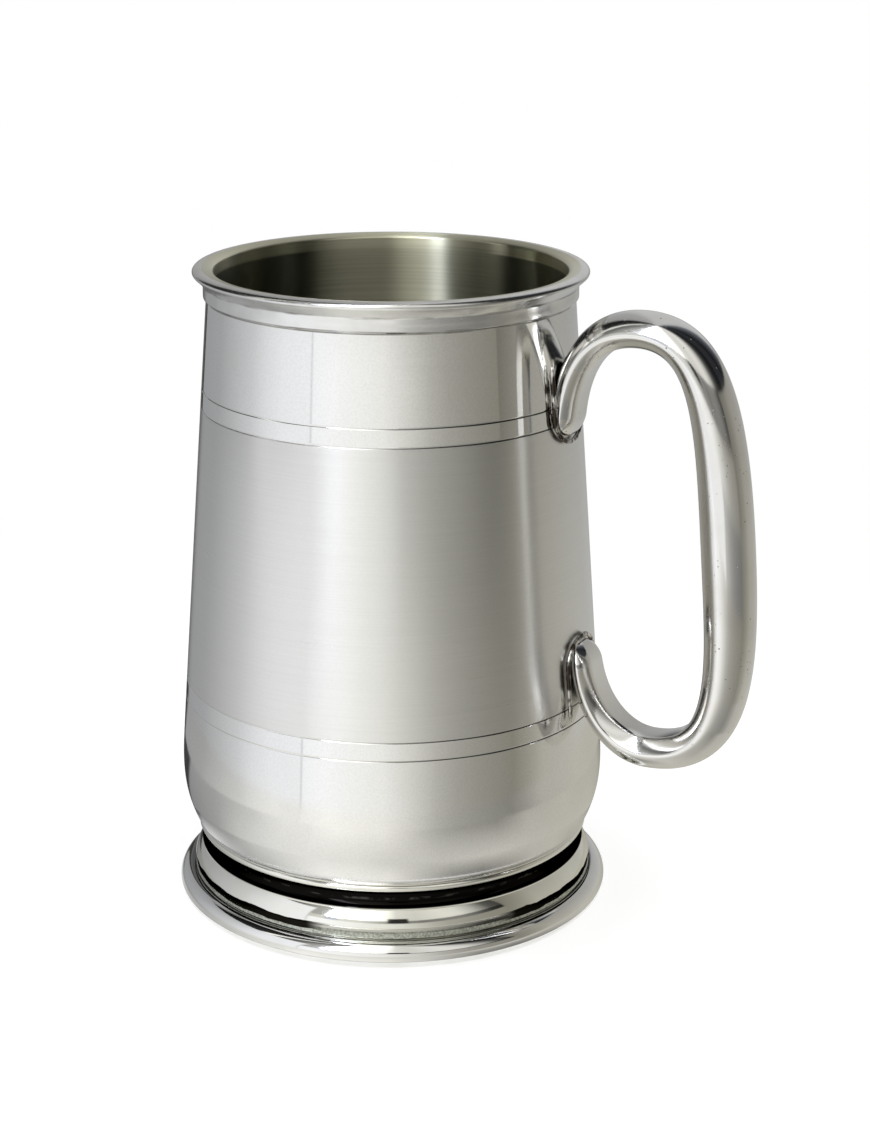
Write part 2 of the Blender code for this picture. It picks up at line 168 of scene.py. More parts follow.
# A face that looks this little outward belongs to the inside
INWARD_FACE = -0.05


def centre_of(node):
    low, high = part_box(node)
    return (low + high) / 2


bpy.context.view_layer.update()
AXIS_X = centre_of("base_bead").x
DRUM_BASE_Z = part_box("drum")[0].z
DRUM_TOP_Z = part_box("drum")[1].z
BELLY_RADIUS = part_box("drum")[1].y
BELLY_Z = DRUM_BASE_Z + BELLY_HEIGHT
RIM_SKIRT_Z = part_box("rim_mount")[0].z
RIM_TOP_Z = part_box("rim_mount")[1].z
LIP_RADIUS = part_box("rim_mount")[1].y
RIM_SEAT_Z = DRUM_TOP_Z + GAP
FOOT_LOW_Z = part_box("foot_ring")[0].z
FOOT_TOP_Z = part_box("foot_ring")[1].z
FOOT_BEAD_OUTER_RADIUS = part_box("foot_ring")[1].y
BEAD_CENTRE_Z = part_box("base_bead")[0].z + math.sqrt(BEAD_RADIUS**2 - (BEAD_FLAT_WIDTH / 2) ** 2)
BEAD_CENTRE_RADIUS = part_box("base_bead")[1].y - BEAD_RADIUS
FLOOR_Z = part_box("floor_disc")[0].z
FLOOR_TOP_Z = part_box("floor_disc")[1].z
NECK_RING_Z = FOOT_TOP_Z - NECK_RING_HEIGHT
GROOVE_BASE_Z = NECK_RING_Z - GROOVE_HEIGHT
FOOT_STEP_Z = GROOVE_BASE_Z - FOOT_STEP_HEIGHT
FOOT_BEAD_BASE_Z = FOOT_STEP_Z - FOOT_BEAD_HEIGHT
COVE_BASE_Z = FOOT_BEAD_BASE_Z - COVE_HEIGHT
FOOT_SKIRT_RADIUS = BEAD_CENTRE_RADIUS - BEAD_RADIUS - GAP
FOOT_BORE_RADIUS = FOOT_SKIRT_RADIUS - FOOT_SKIRT_WALL
LEDGE_RADIUS = FOOT_BORE_RADIUS - LEDGE_WIDTH
REBATE_RADIUS = DRUM_TOP_RADIUS - RIM_REBATE
DRUM_BORE_TOP_RADIUS = DRUM_TOP_RADIUS - DRUM_WALL
RIM_SKIRT_BORE_RADIUS = REBATE_RADIUS + GAP
RIM_SKIRT_RADIUS = RIM_SKIRT_BORE_RADIUS + RIM_SKIRT_WALL
LIP_CROWN_RADIUS = LIP_RADIUS - LIP_CROWN_INSET
TIP_Z = DRUM_TOP_Z - TIP_DROP
HEEL_Z = DRUM_BASE_Z + HEEL_HEIGHT
UPPER_LINE_Z = DRUM_TOP_Z - UPPER_LINES_DROP
SATIN_TOP_Z = UPPER_LINE_Z - LINE_SPACING
LOWER_LINE_Z = BELLY_Z + LOWER_LINES_RISE
SATIN_BASE_Z = LOWER_LINE_Z + LINE_SPACING
LINE_HEIGHTS = (UPPER_LINE_Z, SATIN_TOP_Z, SATIN_BASE_Z, LOWER_LINE_Z)


# Profiles


def drum_radius(z):
    """The drum's outer radius: a straight taper above the belly, a round tuck below it."""
    if z >= BELLY_Z:
        rise = math.hypot(z - BELLY_Z, BELLY_SOFTNESS) - BELLY_SOFTNESS
        full_rise = math.hypot(DRUM_TOP_Z - BELLY_Z, BELLY_SOFTNESS) - BELLY_SOFTNESS
        return BELLY_RADIUS - (BELLY_RADIUS - DRUM_TOP_RADIUS) * rise / full_rise
    drop = (BELLY_Z - z) / BELLY_HEIGHT
    return BELLY_RADIUS - (BELLY_RADIUS - DRUM_FOOT_RADIUS) * drop**TUCK_POWER


def ellipse_arc(centre_r, centre_z, radius_r, radius_z, start, end, steps):
    """Points (r, z) along an ellipse from one angle to another, in degrees from +r towards +z."""
    points = []
    for step in range(steps + 1):
        angle = math.radians(start + (end - start) * step / steps)
        points.append((centre_r + radius_r * math.cos(angle), centre_z + radius_z * math.sin(angle)))
    return points


def circle_arc(centre_r, centre_z, radius, start, end, steps):
    return ellipse_arc(centre_r, centre_z, radius, radius, start, end, steps)


def wall_points(top, base, steps):
    """Points down the drum's outside between two heights."""
    heights = [top + (base - top) * step / steps for step in range(steps + 1)]
    return [(drum_radius(z), z) for z in heights]


def scribed_line(z):
    """A round-bottomed line cut round the drum at this height, top edge first."""
    half = LINE_WIDTH / 2
    shoulder = half * LINE_SHOULDER
    radius = drum_radius(z)
    shoulder_radius = radius - LINE_DEPTH * LINE_SHOULDER_DEPTH
    return [
        (drum_radius(z + half), z + half),
        (shoulder_radius, z + shoulder),
        (radius - LINE_DEPTH, z),
        (shoulder_radius, z - shoulder),
        (drum_radius(z - half), z - half),
    ]


def drum_profile():
    """The outside down from the rebate under the rim mount, then the bore back up."""
    shoulder_z = RIM_SKIRT_Z - GAP
    outside = [(REBATE_RADIUS, RIM_SEAT_Z), (REBATE_RADIUS, shoulder_z)]
    outside += [(drum_radius(shoulder_z) - DRUM_EDGE, shoulder_z)]
    top = shoulder_z - DRUM_EDGE
    for line_z, steps in zip(LINE_HEIGHTS, WALL_STEPS):
        outside += wall_points(top, line_z + LINE_WIDTH, steps)
        outside += scribed_line(line_z)
        top = line_z - LINE_WIDTH
    outside += wall_points(top, DRUM_BASE_Z, BELLY_STEPS)
    outside += [(DRUM_FOOT_RADIUS - DRUM_EDGE, FOOT_TOP_Z)]
    bore = [(r - DRUM_WALL, z) for r, z in wall_points(DRUM_BASE_Z, DRUM_TOP_Z, BORE_STEPS)]
    return outside + bore + [(DRUM_BORE_TOP_RADIUS, RIM_SEAT_Z)]


def rim_mount_profile():
    """The crown and the lip's rounded edge, its slanted underside and the skirt, then the bore."""
    lip_z = RIM_TOP_Z - LIP_EDGE_DROP
    lip_angles = (90, LIP_EDGE_ANGLE)
    lip = ellipse_arc(LIP_CROWN_RADIUS, lip_z, LIP_CROWN_INSET, LIP_EDGE_DROP, *lip_angles, ARC_STEPS)
    root_z = RIM_SEAT_Z - LIP_ROOT_DROP
    run = lip[-1][0] - RIM_SKIRT_RADIUS
    rise = lip[-1][1] - root_z
    under = [(RIM_SKIRT_RADIUS + run * LIP_UNDERSIDE[0], root_z + rise * LIP_UNDERSIDE[1])]
    for out, up in LIP_ROOT_CURVE:
        under.append((RIM_SKIRT_RADIUS + LIP_ROOT_HOLLOW * out, root_z + LIP_ROOT_HOLLOW * up))
    under.append((RIM_SKIRT_RADIUS, (root_z + RIM_SKIRT_Z) / 2))
    ease = RIM_SKIRT_EASE
    skirt = circle_arc(RIM_SKIRT_RADIUS - ease, RIM_SKIRT_Z + ease, ease, 0, -90, SMALL_ARC_STEPS // 2)
    skirt += [(RIM_SKIRT_BORE_RADIUS, RIM_SKIRT_Z), (RIM_SKIRT_BORE_RADIUS, RIM_SEAT_Z)]
    bore = [(DRUM_BORE_TOP_RADIUS, RIM_SEAT_Z), (DRUM_BORE_TOP_RADIUS, RIM_SEAT_Z + LIP_BORE_RISE)]
    flare_z = RIM_TOP_Z - LIP_BORE_DROP
    flare_width = LIP_CROWN_RADIUS - DRUM_BORE_TOP_RADIUS
    flare = ellipse_arc(LIP_CROWN_RADIUS, flare_z, flare_width, LIP_BORE_DROP, 180, 90, ARC_STEPS)
    return lip + under + skirt + bore + flare[:-1]


def foot_ring_profile():
    """Neck ring, groove, step, swelling slope and cove outside, a plain skirt and ledge inside."""
    neck_half = NECK_RING_HEIGHT / 2
    neck_root = DRUM_FOOT_RADIUS - neck_half
    groove_half = GROOVE_HEIGHT / 2
    groove_z = GROOVE_BASE_Z + groove_half
    neck_z = NECK_RING_Z + neck_half
    neck = circle_arc(neck_root, neck_z, neck_half, NECK_RING_TOP_ANGLE, -90, NECK_STEPS)
    groove = ellipse_arc(neck_root, groove_z, GROOVE_DEPTH, groove_half, 90, 270, ARC_STEPS)
    step_radius = DRUM_FOOT_RADIUS - FOOT_STEP_INSET
    ease = FOOT_STEP_EASE
    step = [
        (step_radius - ease, GROOVE_BASE_Z),
        (step_radius, GROOVE_BASE_Z - ease),
        (step_radius, FOOT_STEP_Z + ease),
        (step_radius - ease, FOOT_STEP_Z),
    ]
    edge_r = FOOT_BEAD_OUTER_RADIUS - FOOT_EDGE_RADIUS
    spread = FOOT_SLOPE_RADIUS - FOOT_EDGE_RADIUS
    top_turn = math.radians(FOOT_SLOPE_TOP_ANGLE)
    low_turn = math.radians(FOOT_SLOPE_LOW_ANGLE)
    slope_z = FOOT_STEP_Z - FOOT_SLOPE_RADIUS * math.sin(top_turn)
    edge_z = slope_z + spread * math.sin(low_turn)
    slope_r = edge_r - spread * math.cos(low_turn)
    slope_angles = (FOOT_SLOPE_TOP_ANGLE, FOOT_SLOPE_LOW_ANGLE)
    slope = circle_arc(slope_r, slope_z, FOOT_SLOPE_RADIUS, *slope_angles, ARC_STEPS // 2)
    edge_angles = (FOOT_SLOPE_LOW_ANGLE, FOOT_EDGE_ANGLE)
    edge = circle_arc(edge_r, edge_z, FOOT_EDGE_RADIUS, *edge_angles, SMALL_ARC_STEPS)
    root_r = edge[-1][0]
    cove_width = FOOT_BEAD_OUTER_RADIUS - root_r
    cove_arc = (FOOT_BEAD_OUTER_RADIUS, FOOT_BEAD_BASE_Z, cove_width, COVE_HEIGHT)
    cove = [(root_r, FOOT_BEAD_BASE_Z + COVE_RISE)]
    cove += ellipse_arc(*cove_arc, 180, 270, SMALL_ARC_STEPS)
    inside = [
        (FOOT_SKIRT_RADIUS, COVE_BASE_Z),
        (FOOT_SKIRT_RADIUS, FOOT_LOW_Z),
        (FOOT_BORE_RADIUS, FOOT_LOW_Z),
        (FOOT_BORE_RADIUS, FOOT_TOP_Z - LEDGE_THICKNESS - LEDGE_WIDTH / 2),
        (LEDGE_RADIUS, FOOT_TOP_Z - LEDGE_THICKNESS),
        (LEDGE_RADIUS, FOOT_TOP_Z),
        (DRUM_FOOT_RADIUS - neck_half, FOOT_TOP_Z),
    ]
    return neck + groove[1:-1] + step + slope + edge[1:] + cove + inside


def base_bead_profile():
    """A round wire with a narrow flat under it."""
    tilt = math.degrees(math.asin(BEAD_FLAT_WIDTH / 2 / BEAD_RADIUS))
    angles = (270 - tilt, -90 + tilt)
    return circle_arc(BEAD_CENTRE_RADIUS, BEAD_CENTRE_Z, BEAD_RADIUS, *angles, WIRE_STEPS)


def floor_disc_profile():
    """A flat disc inside the drum, eased at its edge."""
    radius = drum_radius(FLOOR_Z) - DRUM_WALL - GAP
    top = [(radius * ring / FLOOR_RINGS, FLOOR_TOP_Z) for ring in range(FLOOR_RINGS)]
    return top + [
        (radius - FLOOR_EDGE_EASE, FLOOR_TOP_Z),
        (radius, FLOOR_TOP_Z - FLOOR_EDGE_EASE),
        (radius, FLOOR_Z),
        (0.0, FLOOR_Z),
    ]


# Meshes


def new_object(name, points, faces):
    """An object with a new mesh of these points and faces."""
    mesh = bpy.data.meshes.new(name)
    mesh.from_pydata(points, [], faces)
    item = bpy.data.objects.new(name, mesh)
    bpy.context.scene.collection.objects.link(item)
    return item


def add_mesh(name, points, faces, replaced):
    """A smooth-shaded piece that rides on the body and stands for these CAD nodes."""
    piece = new_object(name, points, faces)
    piece.data.validate()
    piece.data.shade_smooth()
    piece.data.set_sharp_from_angle(angle=SHARP_ANGLE)
    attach(piece, "root")
    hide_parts(replaced)
    return piece


def add_turned(name, profile, replaced):
    """A piece turned about the drum's axis. The profile (r, z) runs down its outer side."""
    points = []
    rows = []
    for r, z in profile:
        if r == 0:
            rows.append([len(points)] * RING_STEPS)
            points.append((AXIS_X, 0.0, z))
            continue
        rows.append(range(len(points), len(points) + RING_STEPS))
        for step in range(RING_STEPS):
            angle = 2 * math.pi * step / RING_STEPS
            points.append((AXIS_X + r * math.cos(angle), r * math.sin(angle), z))
    faces = []
    for upper, lower in zip(rows, rows[1:] + rows[:1]):
        for i in range(RING_STEPS):
            j = (i + 1) % RING_STEPS
            corners = dict.fromkeys((upper[i], lower[i], lower[j], upper[j]))
            if len(corners) > 2:
                faces.append(tuple(corners))
    return add_mesh(name, points, faces, replaced)


def tube_faces(rows, count):
    """Faces over this many rings of this many points each, with both ends closed."""
    faces = []
    for row in range(rows - 1):
        near, far = row * count, (row + 1) * count
        for i in range(count):
            j = (i + 1) % count
            faces.append((near + i, near + j, far + j, far + i))
    faces.append(tuple(range(count))[::-1])
    faces.append(tuple(range((rows - 1) * count, rows * count)))
    return faces


def heading(places, index):
    """A path's direction at one of its places, from the place before to the place after."""
    before = Vector(places[max(index - 1, 0)])
    after = Vector(places[min(index + 1, len(places) - 1)])
    return (after - before).normalized()


def blend(start, end, share):
    """A smooth change from start to end as share goes from 0 to 1."""
    return start + (end - start) * share * share * (3 - 2 * share)


def handle_knots():
    """The path's knots, each as a point and a heading in the (r, z) plane, from tip to heel."""
    upper_wall = drum_radius(TIP_Z)
    lower_wall = drum_radius(HEEL_Z)
    return [
        (Vector((upper_wall - TIP_SINK, TIP_Z)), Vector((0, 1))),
        (Vector((upper_wall + ARCH_REACH, DRUM_TOP_Z - ARCH_DROP)), Vector((1, 0))),
        (
            Vector((upper_wall + GRIP_REACH, DRUM_TOP_Z - GRIP_DROP)),
            Vector((math.sin(GRIP_LEAN), -math.cos(GRIP_LEAN))),
        ),
        (Vector((lower_wall + BEND_REACH, DRUM_BASE_Z + BEND_HEIGHT)), Vector((-1, 0))),
        (
            Vector((lower_wall + HEEL_REACH, HEEL_Z)),
            Vector((-math.sin(HEEL_LEAN), math.cos(HEEL_LEAN))),
        ),
    ]


def bezier(start, start_pull, end_pull, end, share):
    """The point this share of the way along a Bezier stretch."""
    rest = 1 - share
    near = start * rest**3 + start_pull * 3 * rest * rest * share
    return near + end_pull * 3 * rest * share * share + end * share**3


def handle_path():
    """Centres (r, z) and half thicknesses along the path, closer together near its two ends."""
    knots = handle_knots()
    fullness = (TIP_TO_ARCH, ARCH_TO_GRIP, GRIP_TO_BEND, BEND_TO_HEEL)
    last = len(fullness) - 1
    centres = [knots[0][0]]
    halves = [THICKNESSES[0] / 2]
    for index, (leaving, meeting) in enumerate(fullness):
        start, start_heading = knots[index]
        end, end_heading = knots[index + 1]
        start_pull = start + leaving * abs((end - start).dot(start_heading)) * start_heading
        end_pull = end - meeting * abs((end - start).dot(end_heading)) * end_heading
        for step in range(1, STRETCH_STEPS + 1):
            share = step / STRETCH_STEPS
            if index == 0:
                share = share**END_CROWDING
            elif index == last:
                share = 1 - (1 - share) ** END_CROWDING
            centres.append(bezier(start, start_pull, end_pull, end, share))
            halves.append(blend(THICKNESSES[index], THICKNESSES[index + 1], share) / 2)
    return centres, halves


def rounding(distance):
    """The share of its full size that a section has this far from a rounded end."""
    if distance >= END_ROUNDING:
        return 1
    short = 1 - distance / END_ROUNDING
    return math.sqrt(1 - short * short * (1 - END_BLUNTNESS**2))


def handle_section(half_thickness, size):
    """The D-shaped section as (outward, sideways) points: round outside, flat inner face."""
    half_width = HANDLE_WIDTH / 2 * size
    half_face = INNER_FACE_WIDTH / 2 * size
    widest = -WIDEST_POINT * half_thickness
    outer = []
    for step in range(SECTION_STEPS + 1):
        angle = math.pi * step / SECTION_STEPS
        outward = widest + (half_thickness - widest) * math.sin(angle)
        outer.append((outward, half_width * math.cos(angle)))
    depth = half_thickness + widest
    start = Vector((widest, half_width))
    pull = Vector((widest - depth * FLANK_START, half_width))
    end = Vector((-half_thickness, half_face))
    flank = []
    for step in range(1, FLANK_STEPS + 1):
        share = step / FLANK_STEPS * (1 - CREASE_EASE)
        point = start * (1 - share) ** 2 + pull * 2 * share * (1 - share) + end * share * share
        flank.append((point[0], point[1]))
    for depth_share, width_share in CREASE_CORNER:
        flank.append((-half_thickness * depth_share, half_face * width_share))
    far_flank = [(outward, -sideways) for outward, sideways in flank]
    return outer + far_flank + [(-half_thickness, 0)] + flank[::-1]


def seated(x, y, z):
    """The point, moved out along its radius where it would lie inside the drum's wall."""
    reach = math.hypot(x, y)
    least = drum_radius(z) + GAP
    if DRUM_BASE_Z <= z <= DRUM_TOP_Z and reach < least:
        return (x * least / reach, y * least / reach, z)
    return (x, y, z)


def add_handle():
    """Rings of the section along the path, mapped in metres along the handle and round it."""
    centres, halves = handle_path()
    lengths = [(far - near).length for near, far in zip(centres, centres[1:])]
    rings = []
    for index, (centre, half_thickness) in enumerate(zip(centres, halves)):
        along = heading(centres, index)
        outward = Vector((-along[1], along[0]))
        heel_size = rounding(sum(lengths[index:]))
        size = rounding(sum(lengths[:index])) * heel_size
        middle = centre + outward * half_thickness * (1 - heel_size)
        ring = []
        for across, sideways in handle_section(half_thickness * size, size):
            point = middle + outward * across
            ring.append(seated(point[0], sideways, point[1]))
        rings.append(ring)
    count = len(rings[0])
    points = [(AXIS_X + x, y, z) for ring in rings for x, y, z in ring]
    piece = add_mesh("handle_casting", points, tube_faces(len(rings), count), "handle")
    along = [sum(lengths[:row]) for row in range(len(rings))]
    around = [2 * HANDLE_WIDTH * abs(i - count / 2) / count for i in range(count)]
    layer = piece.data.uv_layers.new(name="path")
    for corner in piece.data.loops:
        row, column = divmod(corner.vertex_index, count)
        layer.data[corner.index].uv = (along[row], around[column])
    return piece


def add_solder_run(name, end_z, inward):
    """A smooth, slightly lumpy run of solder round one end of the handle."""
    clear = GAP + SOLDER_RADIUS
    side = HANDLE_WIDTH / 2 + clear
    turn_z = end_z + inward * END_ROUNDING
    end_share = HANDLE_WIDTH / 2 * END_BLUNTNESS / side
    turn_drop = inward * (END_ROUNDING + clear) / math.sqrt(1 - end_share**2)
    run = inward * (SOLDER_LENGTH - END_ROUNDING)
    legs = SOLDER_LEG_STEPS
    places = [(side, turn_z + run * (1 - step / legs)) for step in range(legs)]
    for step in range(SOLDER_TURN_STEPS + 1):
        angle = math.pi * step / SOLDER_TURN_STEPS
        places.append((side * math.cos(angle), turn_z - turn_drop * math.sin(angle)))
    places += [(-side, z) for _, z in reversed(places[:legs])]
    points = []
    for index, (y, z) in enumerate(places):
        along = heading(places, index)
        across = Vector((0.0, along[1], -along[0]))
        reach = drum_radius(z) + GAP + SOLDER_RADIUS
        centre = Vector((AXIS_X + math.sqrt(reach**2 - y**2), y, z))
        lump = SOLDER_MEAN
        for swell, pace, phase in SOLDER_WAVES:
            lump += swell * math.sin(index * pace + phase)
        from_end = min(index, len(places) - 1 - index)
        taper = min(1.0, SOLDER_TIP + SOLDER_TAPER * from_end)
        radius = SOLDER_RADIUS * lump * taper
        for turn in range(SOLDER_SIDES):
            angle = 2 * math.pi * turn / SOLDER_SIDES
            points.append(centre + radius * (Vector((math.cos(angle), 0, 0)) + across * math.sin(angle)))
    return add_mesh(name + "_run", points, tube_faces(len(places), SOLDER_SIDES), name)


# Materials

# Colours of the metals, with the shades that they drift to in clouds and streaks
POLISHED = (0.82, 0.815, 0.80)
POLISHED_DARKER = (0.79, 0.785, 0.765)
WIRE_DARKER = (0.77, 0.765, 0.74)
HANDLE_DARKER = (0.77, 0.76, 0.735)
RIM_METAL = (0.80, 0.795, 0.775)
RIM_DARKER = (0.70, 0.695, 0.67)
FOOT_METAL = (0.83, 0.825, 0.775)
FOOT_DARKER = (0.77, 0.765, 0.70)
SATIN_METAL = (0.735, 0.73, 0.705)
SATIN_LIGHTER = (0.775, 0.77, 0.745)
DRUM_MOTTLE = (0.71, 0.71, 0.68)
COVE_METAL = (0.54, 0.56, 0.50)
SOLDER_METAL = (0.74, 0.72, 0.68)

# The inside, lit near the lip and with painted shade lower down and away from the back; the first two each
# in a darker and a lighter streak
INSIDE_LIT = ((0.67, 0.655, 0.495), (0.75, 0.735, 0.565))
INSIDE_SHADED = ((0.16, 0.155, 0.125), (0.22, 0.215, 0.175))
INSIDE_PAINTED_SHADE = (0.22, 0.22, 0.17)
INSIDE_LOW_PAINTED_SHADE = (0.08, 0.078, 0.062)

# Pits, dark lines, specks, tarnish and flux; painted shade in the crease and the groove, and a painted
# glint in the groove
PIT_COLOUR = (0.20, 0.19, 0.165)
RIM_DARK_LINES = (0.10, 0.095, 0.08)
SCRIBED_LINE_DARK = (0.03, 0.03, 0.025)
COVE_SPECKS = (0.16, 0.16, 0.13)
CREASE_PAINTED_SHADE = (0.012, 0.011, 0.009)
GROOVE_TARNISH_AND_SHADE = (0.006, 0.0055, 0.005)
GROOVE_GLINT = (0.6, 0.6, 0.57)
FULL_SHEEN = (1.0, 1.0, 1.0)
PAINTED_SHADE_SHEEN = (0.02, 0.02, 0.02)
FLUX = (0.05, 0.04, 0.03)

# How deep the lit colour of the inside goes below the lip, and where its painted shade is full
INSIDE_LIT_DEPTH = 0.016
INSIDE_SHADED_DEPTH = 0.032

PIT_ROUGHNESS = 0.4

# Azimuths, clockwise from straight away from the camera, that the painted shade and the dark lines keep
# to, or keep away from
CREASE_LINE_FRONT = 188
CREASE_BAND_FRONT = 173
SCRIBED_DARK_SIDE = 118
INSIDE_BACK = 4


class Nodes:
    """Short calls for building the node tree of a material or a world."""

    def __init__(self, block):
        block.use_nodes = True
        self.block = block
        self.tree = block.node_tree

    def add(self, kind, *values, **settings):
        """A new node with these settings, and its first inputs fed with these values."""
        node = self.tree.nodes.new("ShaderNode" + kind)
        for key, value in settings.items():
            setattr(node, key, value)
        for socket, value in zip(node.inputs, values):
            self.put(socket, value)
        return node

    def put(self, socket, value):
        """Feeds an input with another node's output, a number, a vector or a colour (r, g, b)."""
        if isinstance(value, bpy.types.NodeSocket):
            self.tree.links.new(value, socket)
        elif socket.type == "RGBA":
            socket.default_value = (*value, 1.0)
        else:
            socket.default_value = value

    def shade(self, name, value):
        """Feeds an input of the material's own shader."""
        self.put(self.tree.nodes["Principled BSDF"].inputs[name], value)

    def math(self, operation, a, b):
        return self.add("Math", a, b, operation=operation).outputs[0]

    def plus(self, a, b):
        return self.math("ADD", a, b)

    def times(self, a, b):
        return self.math("MULTIPLY", a, b)

    def larger(self, a, b):
        return self.math("MAXIMUM", a, b)

    def step(self, value, low, high):
        """0 at low and past it, 1 at high and past it, smooth between; low may be the larger."""
        return self.add("MapRange", value, low, high, interpolation_type="SMOOTHSTEP").outputs[0]

    def band(self, value, low, high, soft):
        """1 from low to high, fading to 0 over soft on either side."""
        above = self.step(value, low - soft, low)
        return self.times(above, self.step(value, high + soft, high))

    def between(self, share, low, high):
        """Low where the share is 0, high where it is 1."""
        return self.add("MapRange", share, 0.0, 1.0, low, high).outputs[0]

    def mix(self, share, a, b):
        """Colour a where the share is 0, colour b where it is 1."""
        node = self.add("Mix", share, data_type="RGBA")
        # Inputs 6 and 7 and output 2 are the node's colour sockets
        self.put(node.inputs[6], a)
        self.put(node.inputs[7], b)
        return node.outputs[2]

    def coordinates(self, space="Object"):
        return self.add("TexCoord").outputs[space]

    def place(self, scales, space="Object"):
        """Coordinates in this space, each multiplied by its own scale."""
        mapping = self.add("Mapping", self.coordinates(space))
        self.put(mapping.inputs["Scale"], scales)
        return mapping.outputs[0]

    def noise(self, scale, detail=3.0, roughness=0.5, space="Object"):
        """Noise whose grain is 1/scale metres, or 1/scale along each axis where three are given."""
        scales = scale if isinstance(scale, tuple) else (scale, scale, scale)
        node = self.add("TexNoise", self.place(scales, space))
        self.put(node.inputs["Scale"], 1.0)
        self.put(node.inputs["Detail"], detail)
        self.put(node.inputs["Roughness"], roughness)
        return node.outputs["Fac"]

    def height(self):
        return self.add("SeparateXYZ", self.coordinates()).outputs["Z"]

    def towards(self, azimuth):
        """The cosine of the angle about the drum's axis between a point and this azimuth."""
        flat = (1.0, 1.0, 0.0)
        axis = (-AXIS_X, 0.0, 0.0)
        offset = self.add("VectorMath", self.coordinates(), flat, axis, operation="MULTIPLY_ADD")
        level = self.add("VectorMath", offset.outputs[0], operation="NORMALIZE").outputs[0]
        share = self.add("VectorMath", level, photo_direction(azimuth), operation="DOT_PRODUCT")
        return share.outputs["Value"]

    def bump(self, height, distance, normal=None):
        node = self.add("Bump", 1.0, distance)
        self.put(node.inputs["Height"], height)
        if normal is not None:
            self.put(node.inputs["Normal"], normal)
        return node.outputs[0]


def metal(name):
    """The nodes of a new metal."""
    nodes = Nodes(bpy.data.materials.new(name))
    nodes.shade("Metallic", 1.0)
    return nodes


def finished(nodes, colour, roughness, normal):
    """The material, with its shader fed."""
    nodes.shade("Base Color", colour)
    nodes.shade("Roughness", roughness)
    nodes.shade("Normal", normal)
    return nodes.block


def pits(nodes, spacing, size, share):
    """1 in round pits, 0 elsewhere: this share of the places for one, which lie this far apart."""
    scale = 1 / spacing
    cells = nodes.add("TexVoronoi", nodes.place((scale, scale, scale)))
    nodes.put(cells.inputs["Scale"], 1.0)
    hole = nodes.step(cells.outputs["Distance"], size * scale, size * scale / 2)
    split = nodes.add("SeparateColor", cells.outputs["Color"])
    return nodes.times(hole, nodes.math("GREATER_THAN", split.outputs[0], 1 - share))


def clouded(nodes, scale, colour, other):
    """One colour drifting to another in clouds."""
    return nodes.mix(nodes.step(nodes.noise(scale), 0.35, 0.75), colour, other)


def ring_haze(nodes, most):
    """The roughness of a mirror finish, which changes in faint level rings."""
    return nodes.between(nodes.noise((60.0, 60.0, 900.0), detail=4.0), 0.05, most)


def ripple(nodes, scale=70.0, distance=0.00002):
    """The slight waviness of buffed metal."""
    return nodes.bump(nodes.noise(scale, detail=1.0), distance)


def pitted(nodes, pit, depth, colour, roughness, normal):
    """The material with dark, rough pits of this depth in it."""
    colour = nodes.mix(pit, colour, PIT_COLOUR)
    roughness = nodes.plus(roughness, nodes.times(pit, PIT_ROUGHNESS))
    normal = nodes.bump(nodes.math("SUBTRACT", 1.0, pit), depth, normal)
    return finished(nodes, colour, roughness, normal)


def groove_tarnish_shade_and_glint(nodes, height):
    """The groove's black, tarnish and painted shade, with a faint painted glint, speckled, round its
    middle.
    """
    middle = GROOVE_BASE_Z + GROOVE_HEIGHT * 0.42
    half = 0.00016
    line = nodes.band(height, middle - half, middle + half, 0.00015)
    speckle = nodes.step(nodes.noise((420.0, 420.0, 900.0), detail=2.0), 0.52, 0.72)
    # Painted glint: a speckled light line round the groove's middle
    glint = nodes.times(nodes.times(line, speckle), 0.07)
    return nodes.mix(glint, GROOVE_TARNISH_AND_SHADE, GROOVE_GLINT)


def crease_painted_shade(nodes, height):
    """Painted shade over the cove: a line, fainter in front, and a band with ragged edges, none in front.
    """
    # Painted shade in the crease, strongest away from the front
    line = nodes.band(height, FOOT_BEAD_BASE_Z - 0.0002, FOOT_BEAD_BASE_Z + 0.0005, 0.00012)
    off_front = nodes.step(nodes.towards(CREASE_LINE_FRONT), 0.97, 0.80)
    line = nodes.times(line, nodes.between(off_front, 0.30, 0.9))
    ragged = nodes.plus(height, nodes.between(nodes.noise(170.0), -0.0005, 0.0005))
    band = nodes.band(ragged, FOOT_BEAD_BASE_Z - 0.0006, FOOT_BEAD_BASE_Z + 0.0011, 0.00008)
    band = nodes.times(band, nodes.step(nodes.towards(CREASE_BAND_FRONT), 0.93, 0.86))
    return nodes.larger(line, band)


